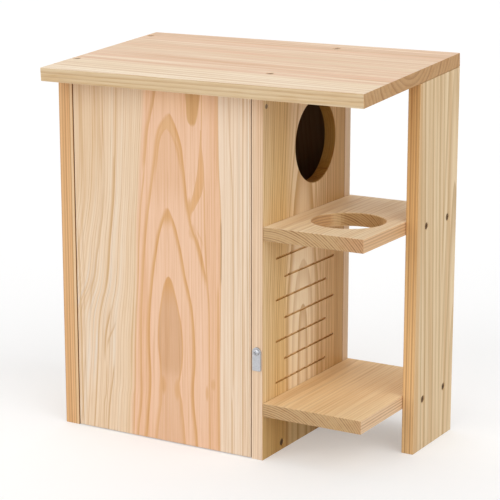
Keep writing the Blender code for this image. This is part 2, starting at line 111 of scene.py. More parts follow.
# Left panel: its front edge, its faces and its dark lines
LEFT_EDGE = (0.80, 0.485, 0.24)
LEFT_EDGE_INSIDE = (0.86, 0.62, 0.37)
LEFT_HEART = (0.79, 0.54, 0.33)
LEFT_SAP = (0.83, 0.63, 0.43)
LEFT_LINE = (0.53, 0.275, 0.105)

# The pith of its tree in millimetres: its place from the front, and how far outside the board it lies, as
# points of (run, distance)
LEFT_PITH = 40
LEFT_ARCH = ((0, 44), (200, 58), (443, 80))

# Right panel: its bands from front to back, its front edge, its lines, and factors for its darker places,
# partly painted shade
RIGHT_PALE = (0.85, 0.65, 0.38)
RIGHT_GOLDEN = (0.785, 0.55, 0.255)
RIGHT_TAN = (0.87, 0.67, 0.43)
RIGHT_BROWN = (0.67, 0.42, 0.175)
RIGHT_BANDS = (
    (0, RIGHT_PALE), (32, RIGHT_GOLDEN), (52, RIGHT_GOLDEN), (72, RIGHT_TAN), (108, RIGHT_TAN),
    (176, RIGHT_BROWN), (198, RIGHT_BROWN),
)
RIGHT_PALE_BELOW = (0.93, 0.765, 0.535)
RIGHT_EDGE_BELOW = (0.93, 0.74, 0.56)
RIGHT_EDGE_ABOVE = (0.86, 0.645, 0.455)
RIGHT_LINE = (0.55, 0.315, 0.11)
RIGHT_LINE_AT_EDGE = (0.62, 0.38, 0.22)
REAR_STREAK = (0.84, 0.77, 0.68)
REAR_GLEAM = (1.09, 1.12, 1.18)
ENTRANCE_WALL_BURNISH_AND_SHADE = (0.56, 0.40, 0.13)
PAINTED_SHADE_NEAR_GROUND = (0.84, 0.75, 0.55)
GROOVE_WALL_SAWN_AND_SHADE = (0.95, 0.86, 0.66)

# The pith of its tree, given as the left panel's is, and how far from the pith the rings are wide
RIGHT_PITH = 95
RIGHT_ARCH = ((0, 3), (140, 8), (170, 14), (200, 22), (230, 29), (297, 36), (360, 43), (444, 48))
RIGHT_WIDE_RINGS = 46

# Post: light and dark wood, its orange front zone and front edge, and its dark lines
POST_LIGHT = (0.83, 0.645, 0.41)
POST_DARK = (0.71, 0.505, 0.285)
POST_FRONT = (0.70, 0.445, 0.215)
POST_EDGE_BELOW = (0.82, 0.53, 0.25)
POST_EDGE_ABOVE = (0.70, 0.41, 0.16)
POST_LINE = (0.545, 0.36, 0.175)
POST_LINE_AT_EDGE = (0.44, 0.215, 0.075)

# The height at which the post's leaning lines have their own place, and the tip that its rear lines bend
# round: its place from the front, and how round it is
POST_TOP = 430
POST_ARCH_PLACE = 96
POST_ARCH_ROUNDNESS = 300

# Platforms: sawn ends, dark lines, and factors for the broad bands, the sawn ends, the hole and its knot
PLATFORM_END = (0.685, 0.50, 0.31)
PLATFORM_END_RIGHT = (0.68, 0.435, 0.27)
PLATFORM_LINE = (0.66, 0.42, 0.20)
PLATFORM_LINE_AT_EDGE = (0.40, 0.20, 0.09)
PLATFORM_LINE_AT_END = (0.33, 0.18, 0.085)
PLATFORM_BAND = (0.96, 0.93, 0.90)
PLATFORM_SAWN = (0.88, 0.80, 0.66)
HATCH_WALL_BURNISH_AND_SHADE = (0.80, 0.72, 0.58)
HATCH_KNOT = (0.35, 0.25, 0.18)

# How far below a platform the pith of its tree lies, in millimetres
PLATFORM_PITH_BELOW = 90

# Knot in the hole's wall, in millimetres: its middle and half its size in (y, z), and the x where it starts
KNOT_MIDDLE = (8, 269)
KNOT_SIZE = (4.5, 3.5)
KNOT_FROM = 167.5

# Door: sapwood
DOOR_SAP_LEFT = (0.865, 0.67, 0.48)
DOOR_SAP_RIGHT = (0.885, 0.70, 0.53)
DOOR_SAP_WARM = (0.805, 0.58, 0.37)
DOOR_SAP_DULL = (0.86, 0.725, 0.585)
DOOR_SAP_PALE = (0.82, 0.715, 0.62)
DOOR_SAP_HIGH_LEFT = (0.80, 0.58, 0.375)

# Door: heartwood, and the darker wood in it
DOOR_PINK = (0.875, 0.575, 0.39)
# Painted light: the pink is lighter under the top edge, against the shade of the roof
DOOR_PINK_PAINTED_LIGHT_AT_TOP = (0.92, 0.61, 0.39)
DOOR_UNDER_HOOD = (0.81, 0.505, 0.315)
DOOR_ORANGE = (0.83, 0.515, 0.32)
DOOR_EYE = (0.715, 0.43, 0.25)
DOOR_EYE_TIP = (0.71, 0.395, 0.19)
DOOR_HOOD = (0.765, 0.46, 0.23)
DOOR_WEDGE = (0.755, 0.42, 0.185)

# Door: dark lines, the seam at the heartwood's right border and the resin stain
DOOR_LINE_IN_SAP = (0.66, 0.42, 0.215)
DOOR_LINE_IN_HEART = (0.71, 0.385, 0.155)
DOOR_SEAM = (0.42, 0.24, 0.12)
DOOR_STAIN = (0.665, 0.375, 0.145)

# Door grain in millimetres, from the door's lower left corner as seen. Each course is a row of points: the
# height first, then the place across the door. ABOVE_DOOR is higher than any of them.
ABOVE_DOOR = 600

# The arches' middle, the place of the heartwood's left border where the fibres stand upright, and the width
# of the sapwood from there to its long line
PITH_PLACE = 132
UPRIGHT_BORDER = 88
SAP_BAND = 40

# Flanks of the outer arch, its inner rim under the tip, the middle arch, the eye and the wedge
OUTER_LEFT = (
    (0, 86), (17, 87.5), (33, 90), (53, 91.7), (97, 91.7), (150, 92.5), (188, 95), (222, 97.5),
    (255, 100.8), (290, 105.8), (320, 110.8), (347, 115), (360, 116.8), (372, 119.4), (382, 123.5),
    (389, 128.5), (396, 135),
)
OUTER_RIGHT = (
    (0, 184), (130, 183.5), (175, 182.3), (205, 181.3), (230, 176.5), (250, 170.5), (267, 163.5),
    (280, 160.8), (297, 157.5), (317, 155.3), (343, 152.5), (357, 150.8), (367, 148.3), (378, 144.4),
    (388, 140), (396, 135.2),
)
HOOD_LEFT = ((290, 109), (340, 117), (350, 118.3), (363, 120.8), (373, 125.5), (378, 131))
HOOD_RIGHT = ((290, 155), (330, 150.8), (343, 148.3), (355, 145.8), (365, 142), (373, 137.5), (378, 131.2))
MIDDLE_LEFT = (
    (0, 98), (8, 99), (27, 100.8), (42, 102.5), (58, 104), (77, 104.7), (127, 103.3), (163, 105),
    (183, 107.5), (210, 110.8), (233, 115), (253, 119.2), (263, 122.5), (277, 127.5), (285, 131.6),
)
MIDDLE_RIGHT = (
    (0, 169.6), (22, 168), (37, 166.3), (53, 165), (70, 164.7), (103, 167), (137, 166.2), (165, 163.7),
    (187, 159.2), (207, 154.2), (230, 150), (253, 144.2), (265, 140.8), (277, 136), (285, 131.8),
)
EYE_LEFT = (
    (0, 112.5), (25, 115.8), (38, 118), (50, 119.7), (70, 120), (97, 118.7), (123, 116.7), (150, 118),
    (163, 119.7), (175, 121.7), (187, 124.2), (196, 126.8), (201, 129.2), (203, 131.6),
)
EYE_RIGHT = (
    (0, 153), (27, 150.8), (40, 149.2), (52, 148), (62, 145.8), (72, 144.2), (80, 145.3), (103, 149.2),
    (117, 150), (143, 148.3), (165, 144.2), (187, 138.8), (196, 136.4), (201, 134), (203, 131.8),
)
WEDGE_LEFT = (
    (276, 161), (290, 162), (300, 164.5), (310, 167.5), (320, 170), (330, 172.3), (346, 174.3),
    (360, 175.8), (380, 176.8),
)
WEDGE_RIGHT = (
    (276, 161.4), (283, 164.5), (292, 169.5), (300, 174.3), (310, 178.6), (325, 181), (338, 180.6),
    (350, 179.2), (363, 177.8), (380, 177),
)

# Borders of the resin stain and of the heartwood, and the long dark line in the sapwood with its width
STAIN_LEFT = ((383, 166), (386, 161.5), (392, 158.6), (410, 157), (426, 155.5))
STAIN_RIGHT = ((383, 167), (386, 169.5), (392, 171.8), (410, 175.3), (426, 178))
HEART_LEFT = (
    (0, 76), (22, 76.8), (47, 78.3), (63, 80.8), (113, 81.7), (147, 84), (200, 86.7), (263, 88.4),
    (297, 91), (340, 93.3), (380, 96.2), (426, 99),
)
HEART_RIGHT = ((0, 201.5), (120, 202), (200, 203.4), (247, 203.8), (300, 203), (347, 200.8), (426, 200.2))
SAP_LINE = (
    (0, 20.5), (33, 23.3), (55, 25), (97, 28.3), (133, 30.8), (162, 36.7), (175, 40.8), (192, 44.2),
    (208, 46), (235, 48.3), (263, 51.7), (297, 55.5), (333, 57.5), (363, 59), (426, 61),
)
SAP_LINE_WIDTH = ((0, 2.4), (140, 2.8), (180, 5), (240, 3.6), (300, 5.5), (335, 5), (345, 2.6), (426, 2.4))

# Dark lines of the door: their course, the width over which they darken, strength and how softly they end
DOOR_LINES = (
    (((-20, 78), (13, 80), (60, 82), (120, 83.6), (147, 84.5), (175, 87), (205, 89.3), (230, 90.3),
      (263, 92.3), (290, 94.6), (320, 98.5), (355, 101)), 2.6, 0.7, 20),
    (((315, 98), (355, 102), (375, 104.5), (391, 108.5), (410, 113.5), (450, 121)), 7, 0.75, 14),
    (((-20, 188.5), (38, 187.4), (113, 187.8), (163, 187.6), (197, 185.6), (230, 183.6), (270, 182),
      (300, 182), (336, 181.4)), 2.6, 0.75, 14),
    (((186, 187), (205, 184), (217, 181), (230, 178.5), (240, 175.5), (250, 172.3), (260, 169), (272, 164)),
     6.5, 0.95, 14),
    (((236, 182), (250, 178.5), (262, 172), (274, 167)), 4, 0.4, 10),
    (((346, 177), (360, 177.4), (395, 178.4), (450, 179)), 1.8, 0.6, 6),
    (((-20, 200), (40, 200), (60, 199.5), (100, 199.4), (150, 199.8), (196, 200), (215, 200.4)),
     3.6, 0.8, 16),
    (((300, 198.4), (350, 198.4), (400, 198), (450, 197.5)), 2.4, 0.5, 20),
    (((80, 39), (110, 40), (123, 41.8), (138, 45.5), (153, 49.5), (164, 53)), 4, 0.9, 12),
    (((97, 42), (110, 44.3), (120, 47.8), (128, 52), (137, 56), (146, 59)), 3.6, 0.7, 10),
    (((-20, 35.4), (30, 36.8), (47, 39.8), (75, 41.4), (95, 41.6)), 2.2, 0.75, 14),
    (((-20, 41.4), (22, 43.8), (38, 45.6), (55, 48.2), (70, 50.7), (83, 52.4), (92, 53.6)), 2.4, 0.9, 10),
    (((120, 18), (142, 19.4), (158, 20.3), (175, 22), (193, 27), (217, 30.2), (233, 33.6), (250, 36),
      (263, 38.6), (280, 40.2), (300, 42.4), (330, 42.8)), 4.5, 0.7, 26),
    (((270, 42.4), (330, 42.8), (363, 42), (450, 41.4)), 1.6, 0.5, 20),
    (((-20, 10.2), (60, 11.2), (120, 10.4), (180, 10.8), (250, 10), (300, 12)), 3.2, 0.5, 30),
    (((290, 12), (330, 12.3), (380, 11.6), (450, 10)), 7, 0.7, 24),
    (((300, 40), (340, 38.5), (380, 37), (450, 35)), 9, 0.45, 24),
    (((150, 23), (175, 25), (208, 31)), 5, 0.4, 14),
    (((-20, 5.8), (60, 5.8), (150, 5), (210, 4.2), (262, 2)), 3, 0.85, 20),
    (((-20, 232), (220, 232.2), (450, 233)), 1.4, 0.75, 10),
    (((-20, 235), (120, 234.8), (220, 234.2)), 1.2, 0.6, 30),
    (((-20, 238.8), (220, 238.6), (450, 238.4)), 1.4, 0.6, 10),
    (((-20, 217.9), (40, 217.9), (62, 217.6), (75, 217.4)), 1.8, 0.8, 8),
    (((60, 219.6), (200, 219.8), (290, 219.3), (340, 217.3), (380, 215.4), (450, 213.9)), 2.2, 0.65, 20),
    (((160, 226), (260, 226.8), (450, 226.4)), 1.8, 0.35, 30),
)

# Dark spots of the door: their middle (place, height), half their size and strength
DOOR_SPOTS = (
    ((160.6, 287), (4, 14), 0.8),
    ((164, 261), (5, 10), 0.5),
    ((122.5, 69), (4.5, 12), 0.65),
    ((142.3, 66), (4.5, 14), 0.65),
    ((184, 68), (2.6, 10), 0.6),
    ((192.5, 80), (3.0, 8), 0.55),
)

# Lines along the narrow front edges: place across the edge in millimetres, width and strength
LEFT_EDGE_LINES = (
    (0.7, 1.5, 0.7), (5.3, 2.0, 0.6), (8.9, 2.2, 0.85), (12.2, 1.6, 0.5), (15.4, 1.8, 0.85),
    (19.6, 1.2, 0.9),
)
# The right edge's first line, at its corner with the side face, is painted shade along that corner
RIGHT_EDGE_LINES = (
    (0.5, 0.8, 0.9), (3.3, 1.5, 0.5), (6.2, 1.8, 0.6), (9.4, 1.2, 0.35), (12.1, 1.6, 0.5), (14.7, 0.9, 0.6),
)
POST_EDGE_LINES = ((1.0, 1.2, 0.4), (4.4, 2.2, 0.7), (7.6, 1.4, 0.4), (10.6, 2.2, 0.75), (14.2, 1.6, 0.5))


class Field:
    """A number that varies over a surface: the output of a shader node."""

    def __init__(self, tree, socket):
        self.tree = tree
        self.socket = socket

    def math(self, operation, *terms):
        node = self.tree.nodes.new("ShaderNodeMath")
        node.operation = operation
        for slot, term in zip(node.inputs, terms):
            connect(self.tree, term, slot)
        return Field(self.tree, node.outputs[0])

    def __add__(self, other):
        return self.math("ADD", self, other)

    def __radd__(self, other):
        return self.math("ADD", other, self)

    def __sub__(self, other):
        return self.math("SUBTRACT", self, other)

    def __rsub__(self, other):
        return self.math("SUBTRACT", other, self)

    def __mul__(self, other):
        return self.math("MULTIPLY", self, other)

    def __rmul__(self, other):
        return self.math("MULTIPLY", other, self)

    def __truediv__(self, other):
        return self.math("DIVIDE", self, other)

    def __pow__(self, other):
        return self.math("POWER", self, other)

    def size(self):
        return self.math("ABSOLUTE", self)

    def at_least(self, other):
        return self.math("MAXIMUM", self, other)

    def at_most(self, other):
        return self.math("MINIMUM", self, other)

    def whole(self):
        return self.math("FLOOR", self)

    def part(self):
        return self.math("FRACT", self)


def connect(tree, term, slot):
    """Feeds a node's input from a field, or sets it to a plain number."""
    if isinstance(term, Field):
        tree.links.new(term.socket, slot)
    else:
        slot.default_value = term


def smooth(field, start, end):
    """0 before start, 1 after end, and a smooth climb between them."""
    node = field.tree.nodes.new("ShaderNodeMapRange")
    node.interpolation_type = "SMOOTHSTEP"
    for name, term in (("Value", field), ("From Min", start), ("From Max", end)):
        connect(field.tree, term, node.inputs[name])
    return Field(field.tree, node.outputs["Result"])


def between(field, start, end, edge):
    """1 from start to end; each border is soft for edge before and after it."""
    return smooth(field, start - edge, start + edge) * (1 - smooth(field, end - edge, end + edge))


def distance(first, second):
    """Distance from a middle, from two places measured from it at right angles."""
    return (first * first + second * second) ** 0.5


def noise(x, y, z, detail, roughness, seed):
    """Noise about zero, from -1 to 1, whose features are one unit in size."""
    tree = x.tree
    place = tree.nodes.new("ShaderNodeCombineXYZ")
    for slot, term in zip(place.inputs, (x + seed, y, z)):
        connect(tree, term, slot)
    node = tree.nodes.new("ShaderNodeTexNoise")
    node.inputs["Scale"].default_value = 1.0
    node.inputs["Detail"].default_value = detail
    node.inputs["Roughness"].default_value = roughness
    tree.links.new(place.outputs[0], node.inputs["Vector"])
    return (Field(tree, node.outputs[0]) - 0.5) * 2


def chance(field):
    """A number from 0 to 1 that is the same wherever the field has one value."""
    node = field.tree.nodes.new("ShaderNodeTexWhiteNoise")
    node.noise_dimensions = "1D"
    connect(field.tree, field, node.inputs["W"])
    return Field(field.tree, node.outputs["Value"])


def curve(field, points):
    """A smooth curve through points of (place, value), both in the field's own units."""
    low, high = points[0][0], points[-1][0]
    floor = min(value for place, value in points)
    ceiling = max(value for place, value in points)
    node = field.tree.nodes.new("ShaderNodeFloatCurve")
    drawn = node.mapping.curves[0]
    while len(drawn.points) < len(points):
        drawn.points.new(0.5, 0.5)
    for knot, (place, value) in zip(drawn.points, points):
        knot.location = ((place - low) / (high - low), (value - floor) / (ceiling - floor))
        knot.handle_type = "AUTO"
    node.mapping.extend = "HORIZONTAL"
    node.mapping.update()
    connect(field.tree, (field - low) / (high - low), node.inputs["Value"])
    return Field(field.tree, node.outputs["Value"]) * (ceiling - floor) + floor


def mix_node(share, mode):
    """A node that mixes two colours by share, and its two colour inputs."""
    node = share.tree.nodes.new("ShaderNodeMix")
    node.data_type = "RGBA"
    node.blend_type = mode
    connect(share.tree, share, node.inputs[0])
    return node, node.inputs[6], node.inputs[7]


def blend(share, first, second):
    """The first colour where share is 0 and the second where it is 1; each is an RGB triple or a socket."""
    node, *slots = mix_node(share, "MIX")
    for slot, colour in zip(slots, (first, second)):
        if isinstance(colour, tuple):
            slot.default_value = (*colour, 1.0)
        else:
            share.tree.links.new(colour, slot)
    return node.outputs[2]


def tint(share, colour, factor):
    """Multiplies a colour by an RGB triple, as far as share says."""
    node, colour_slot, factor_slot = mix_node(share, "MULTIPLY")
    share.tree.links.new(colour, colour_slot)
    factor_slot.default_value = (*factor, 1.0)
    return node.outputs[2]


def colour_run(field, stops):
    """A colour that changes along a field, through stops of (place, colour)."""
    low, high = stops[0][0], stops[-1][0]
    node = field.tree.nodes.new("ShaderNodeValToRGB")
    ramp = node.color_ramp
    ramp.elements[0].color = (*stops[0][1], 1.0)
    ramp.elements[1].color = (*stops[-1][1], 1.0)
    for place, colour in stops[1:-1]:
        ramp.elements.new((place - low) / (high - low)).color = (*colour, 1.0)
    connect(field.tree, (field - low) / (high - low), node.inputs["Fac"])
    return node.outputs["Color"]


def new_material(name):
    """An empty material and its Principled shader."""
    material = bpy.data.materials.new(name)
    material.use_nodes = True
    tree = material.node_tree
    tree.nodes.clear()
    shader = tree.nodes.new("ShaderNodeBsdfPrincipled")
    output = tree.nodes.new("ShaderNodeOutputMaterial")
    tree.links.new(shader.outputs[0], output.inputs["Surface"])
    return material, tree, shader


def put_on(node, material):
    """Gives a piece its only material."""
    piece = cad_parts[node]
    piece.data.materials.clear()
    piece.data.materials.append(material)


def surface_place(tree):
    """The surface's place in millimetres and its facing, along the house's own axes."""
    source = tree.nodes.new("ShaderNodeTexCoord")
    place = tree.nodes.new("ShaderNodeSeparateXYZ")
    facing = tree.nodes.new("ShaderNodeSeparateXYZ")
    tree.links.new(source.outputs["Object"], place.inputs[0])
    tree.links.new(source.outputs["Normal"], facing.inputs[0])
    places = [Field(tree, socket) / MM for socket in place.outputs]
    facings = [Field(tree, socket) for socket in facing.outputs]
    return places, facings


def add_relief(tree, shader, height, depth):
    """Raises the surface by height times depth in metres."""
    bump = tree.nodes.new("ShaderNodeBump")
    bump.inputs["Strength"].default_value = 1.0
    bump.inputs["Distance"].default_value = depth
    connect(tree, height, bump.inputs["Height"])
    tree.links.new(bump.outputs[0], shader.inputs["Normal"])


class Board:
    """The wood of one board.

    Its grain runs along one axis, another goes across it, and a third through its thickness. In
    millimetres, run counts from the board's low end, side from middle, and depth from the face that looks to
    the plus side where face is 1, and to the minus side where it is -1.
    """

    def __init__(self, node, along, across, deep, middle, face, seed):
        self.node = node
        self.material, self.tree, self.shader = new_material(node + "_wood")
        places, facings = surface_place(self.tree)
        low, high = (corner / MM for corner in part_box(node))
        self.seed = seed
        self.places = places
        self.facings = facings
        self.run = places[along] - low[along]
        self.side = places[across] - (low[across] + middle)
        self.depth = (high[deep] - places[deep]) if face > 0 else (places[deep] - low[deep])
        self.end_grain = smooth(facings[along].size(), *FACING)
        self.edge = smooth(facings[across].size(), *FACING)

    def figure(self, grain, size, reach, detail, roughness, seed):
        """Noise drawn out along the board: features size wide and reach long, in millimetres."""
        return noise(grain / size, self.depth / size, self.run / reach, detail, roughness, self.seed + seed)

    def wobble(self, size, reach, amount):
        """Slow sideways wander: features size wide and reach long, by amount."""
        return self.figure(self.side, size, reach, 1.0, 0.5, 0) * amount

    def facing(self, axis, sign):
        """1 on the faces that look along an axis, to the plus or minus side."""
        return smooth(self.facings[axis] * sign, *FACING)

    def finish(self, colour, lines, grain=None, sawn_factor=SAWN_END, raised=0.7):
        """Adds fibres, colour bands, end grain and relief, and puts the wood on its board."""
        grain = self.side if grain is None else grain
        sawn = self.end_grain
        long_grain = 1 - sawn
        bands = self.figure(grain, 7, 330, 2.0, 0.5, 3.1)
        colour = tint(smooth(bands, 0.0, 0.5) * 0.8, colour, DARK_BAND)
        colour = tint(smooth(bands * -1, 0.05, 0.5) * 0.8, colour, LIGHT_BAND)
        streaks = self.figure(grain, 2.2, 170, 2.0, 0.6, 5.4)
        colour = tint(smooth(streaks, 0.0, 0.45) * long_grain, colour, DARK_STREAK)
        colour = tint(smooth(streaks * -1, 0.05, 0.45) * long_grain * 0.9, colour, LIGHT_STREAK)
        fibres = self.figure(grain, 0.9, 55, 3.0, 0.7, 7.7)
        colour = tint(smooth(fibres, -0.05, 0.5) * long_grain, colour, DARK_FIBRE)
        specks = self.figure(grain, 0.5, 0.8, 2.0, 0.6, 9.3)
        colour = tint(sawn, colour, sawn_factor)
        colour = tint(sawn * smooth(specks, -0.1, 0.5), colour, SAWN_SPECK)
        self.tree.links.new(colour, self.shader.inputs["Base Color"])
        roughness = WOOD_ROUGHNESS - lines * 0.08 + sawn * 0.2 + fibres * 0.06
        connect(self.tree, roughness, self.shader.inputs["Roughness"])
        self.shader.inputs["Specular IOR Level"].default_value = 0.3
        relief = fibres * 0.35 - specks * sawn * 0.6
        if raised:
            relief = relief + lines * raised
        add_relief(self.tree, self.shader, relief, WOOD_RELIEF)
        put_on(self.node, self.material)


def yearly_rings(board, rings, sharpness=0.93):
    """Late wood where rings counts years: it darkens slowly and ends sharply, no two years alike."""
    years = rings + noise(rings / 3, board.run / 500, board.depth / 60, 1.0, 0.5, board.seed) * 0.5
    year = years.whole()
    season = years.part()
    late = smooth(season, 0.30, sharpness) * (1 - smooth(season, sharpness + 0.02, 1.0))
    return late * (0.30 + 0.70 * chance(year + board.seed))


def thin_lines(board, rings):
    """Fine lines where rings counts years, some stronger than others."""
    years = rings + noise(rings / 2, board.run / 300, board.depth / 50, 2.0, 0.5, board.seed + 2) * 0.45
    season = years.part()
    fine = smooth(season, 0.36, 0.55) * (1 - smooth(season, 0.56, 0.74))
    return fine * (0.25 + 0.75 * chance(years.whole() + board.seed))


def line(gap, width):
    """A dark line where gap is 0: it darkens over its width before that, and ends sharply after it."""
    return smooth(gap, width * -1, 0.0) * (1 - smooth(gap, 0.3, 1.3))


def streak(place, height, course, width, fade):
    """A dark line along a course of (height, place) points, that fades towards both its ends."""
    ends = (course[0][0] + fade, course[-1][0] - fade)
    return line(place - curve(height, course), width) * between(height, *ends, fade)


def inside_arch(place, height, left, right):
    """Millimetres inside an arch, measured sideways; below zero outside. Both flanks meet at its tip."""
    flanks = (place - curve(height, left)).at_most(curve(height, right) - place)
    return flanks - (height - left[-1][0]).at_least(0)


def arch_lines(place, height, left, right, width):
    """Both flanks of an arch as dark lines that meet at its tip."""
    tip = left[-1][0]
    flanks = line(place - curve(height, left), width).at_least(line(place - curve(height, right), width))
    return flanks * (1 - 0.35 * smooth(height, tip - 18, tip - 3)) * (1 - smooth(height, tip - 2, tip + 2))


def spot(place, height, middle, size):
    """A soft round or long spot."""
    across = (place - middle[0]) / size[0]
    up = (height - middle[1]) / size[1]
    return 1 - smooth(across * across + up * up, 0.0, 1.5)


def hole_wall(first, second, hole):
    """1 on a round hole's wall and 0 outside its eased rim; hole is its middle's places and its radius."""
    across, up = first - hole[0], second - hole[1]
    return 1 - smooth(distance(across, up), hole[2] + 0.2, hole[2] + 1.0)


def edge_lines(board, place, marks, year, strength):
    """A narrow edge's lines: marks of (place, width, strength), and fine ones a year apart."""
    lines = line(place - marks[0][0], marks[0][1]) * marks[0][2]
    for mark_place, mark_width, mark_strength in marks[1:]:
        lines = lines.at_least(line(place - mark_place, mark_width) * mark_strength)
    return lines.at_least(thin_lines(board, place / year) * strength)


def paint_nest_shade(board, colour, axis, sign):
    """Painted shade: the face towards the nest is darker, standing in for the shade inside the nest."""
    return tint(board.facing(axis, sign), colour, NEST_PAINTED_SHADE)


class DoorWood(Board):
    """The door's wood, with the bent courses that its grain follows."""

    def __init__(self):
        super().__init__("door_panel", Z, X, Y, 0, -1, 1.3)
        self.heart_left = curve(self.run, HEART_LEFT)
        self.sap_line = curve(self.run, SAP_LINE)

        # The fibres lean with the heartwood's left border and with the long sapwood line beyond it
        border, beyond_border = self.heart_left, self.sap_line
        from_left = self.side - self.depth * 0.5
        beyond = ((border - from_left) / (border - beyond_border)).at_least(0).at_most(1.7)
        within = 1 - ((from_left - border) / (PITH_PLACE - border)).at_least(0).at_most(1)
        self.grain = self.side + (UPRIGHT_BORDER - border) * within
        self.grain = self.grain + (border - beyond_border - SAP_BAND) * beyond

        self.height = self.run + self.wobble(50, 200, 2.5)
        self.place = self.side + self.wobble(26, 260, 0.9) + self.wobble(6, 90, 0.35)
        self.arch_height = self.height + self.depth * 8


def door_sapwood(door):
    """Sapwood on both sides: warm and dull streaks, and a pale patch that leans with the grain."""
    place, grain, run, depth = door.place, door.grain, door.run, door.depth
    colour = blend(smooth(place, 110, 150), DOOR_SAP_LEFT, DOOR_SAP_RIGHT)
    streaks = noise(grain / 6, run / 420, depth / 20, 2.0, 0.5, 4.4)
    on_left = 1 - smooth(place, 84, 96)
    colour = blend(smooth(streaks, -0.05, 0.35) * on_left * 0.9, colour, DOOR_SAP_WARM)
    colour = blend(smooth(streaks * -1, 0.05, 0.4) * 0.85, colour, DOOR_SAP_DULL)
    pale = smooth(noise(grain / 4, run / 170, depth / 20, 2.0, 0.5, 7.2), -0.05, 0.35)
    pale_zone = between(run, 70, 205, 35) * (1 - smooth(grain, 52, 72)) * smooth(grain, 14, 24)
    colour = blend(pale * pale_zone, colour, DOOR_SAP_PALE)
    high_left = (1 - smooth(place, 34, 52)) * smooth(door.height, 220, 345)
    return blend(high_left * 0.75, colour, DOOR_SAP_HIGH_LEFT)


def door_heartwood(door, colour):
    """Pink heartwood with an orange hood, eye and wedge: the colour, its share and its lined forms."""
    place, grain, run, depth = door.place, door.grain, door.run, door.depth
    height, arch_height = door.height, door.arch_height
    ragged = noise(grain / 3, run / 200, depth / 9, 2.0, 0.6, 8.8) * 4
    softly = smooth(place - depth * 0.5 - door.heart_left + ragged, -3.5, 4.0)
    heartwood = softly * (1 - smooth(place + depth * 0.5 - curve(height, HEART_RIGHT), -0.8, 0.8))
    # Painted light: lighter pink under the top edge, against the roof's shade
    pink = blend(smooth(height, 385, 415), DOOR_PINK, DOOR_PINK_PAINTED_LIGHT_AT_TOP)
    colour = blend(heartwood, colour, pink)
    outer = inside_arch(place, arch_height, OUTER_LEFT, OUTER_RIGHT)
    hood = inside_arch(place, arch_height, HOOD_LEFT, HOOD_RIGHT)
    middle = inside_arch(place, arch_height, MIDDLE_LEFT, MIDDLE_RIGHT)
    eye = inside_arch(place, arch_height, EYE_LEFT, EYE_RIGHT)
    under_hood = smooth(outer, -0.5, 2) * between(height, 300, ABOVE_DOOR, 24) * (1 - smooth(middle, -2, 0))
    colour = blend(under_hood * 0.8, colour, DOOR_UNDER_HOOD)
    orange = between(place, 94, 104, 6) * (1 - smooth(height, 150, 330)) + between(place, 186, 200, 5)
    colour = blend(orange.at_most(1) * heartwood * 0.7, colour, DOOR_ORANGE)
    eye_fill = smooth(eye, -0.4, 1.0) * (0.42 + 0.55 * smooth(height, 72, 96))
    colour = blend(eye_fill, colour, blend(smooth(height, 160, 198), DOOR_EYE, DOOR_EYE_TIP))
    hood_fill = smooth(outer, -0.5, 1.5) * (1 - smooth(hood, -1.5, 1)) * smooth(height, 318, 385)
    colour = blend(hood_fill * 0.85, colour, DOOR_HOOD)
    wedge = inside_arch(place, height, WEDGE_LEFT, WEDGE_RIGHT) * between(height, 280, ABOVE_DOOR, 4)
    wedge_fill = smooth(wedge, 0.2, 2.0)
    uneven = 0.85 + 0.35 * noise(grain / 3, run / 40, depth / 9, 1.0, 0.5, 3.3)
    colour = blend((wedge_fill * uneven).at_most(1), colour, DOOR_WEDGE)
    return colour, heartwood, (middle, eye, wedge)


def door_rims(door, forms):
    """Dark rims of the arches, the eye and the wedge, and their dark tips."""
    place, height, arch_height = door.place, door.height, door.arch_height
    middle, eye, wedge = forms
    right_half = smooth(place, 134, 138)
    outer_strength = (1 - right_half) * 0.8 + right_half * 0.95 * smooth(height, 195, 225)
    lines = arch_lines(place, arch_height, OUTER_LEFT, OUTER_RIGHT, 5.5) * outer_strength
    hood_rim = arch_lines(place, arch_height, HOOD_LEFT, HOOD_RIGHT, 4) * 0.7
    lines = lines.at_least(hood_rim * smooth(height, 305, 350))
    lines = lines.at_least(arch_lines(place, arch_height, MIDDLE_LEFT, MIDDLE_RIGHT, 6))
    legs = 1 - smooth(height, 58, 88)
    eye_rim = arch_lines(place, arch_height, EYE_LEFT, EYE_RIGHT, 2 + 4.5 * legs)
    lines = lines.at_least(eye_rim * (0.8 - 0.1 * legs))
    wedge_rim = line(wedge * -1, 2.5) * 0.75 * between(height, 284, ABOVE_DOOR, 4)
    lines = lines.at_least(wedge_rim * smooth(wedge, -0.8, -0.2))
    lines = lines.at_least(smooth(middle, -1.2, 0.6) * smooth(height, 258, 277) * 0.85)
    return lines.at_least(smooth(eye, -1.2, 0.6) * smooth(height, 181, 199) * 0.9)


def door_lines(door, heartwood, forms):
    """All dark lines of the door: the rims, the spots, the single lines, and fine ones a year apart."""
    place, grain, height = door.place, door.grain, door.height
    lines = door_rims(door, forms)
    for middle, size, strength in DOOR_SPOTS:
        lines = lines.at_least(spot(place, height, middle, size) * strength)
    for course, width, strength, fade in DOOR_LINES:
        lines = lines.at_least(streak(place, height, course, width, fade) * strength)
    sap_width = curve(height, SAP_LINE_WIDTH)
    sap_strength = 0.72 + 0.23 * between(height, 180, 335, 20)
    lines = lines.at_least(line(place - door.sap_line - 1, sap_width) * sap_strength)
    border = line(place - curve(height, HEART_RIGHT) + 0.4, 1.8)
    lines = lines.at_least(border * (0.6 + 0.35 * between(height, 205, 275, 12)))
    slanted = thin_lines(door, grain / 3.1) * between(grain, 56, 90, 5) * 0.95
    upright = thin_lines(door, grain / 4.2) * smooth(place, 203, 208) * 0.75
    pinkish = thin_lines(door, grain / 4.6) * heartwood * 0.35
    leaning = thin_lines(door, grain / 3.6) * (1 - smooth(grain, 50, 58)) * 0.8
    return lines.at_least(slanted.at_least(upright).at_least(pinkish).at_least(leaning))


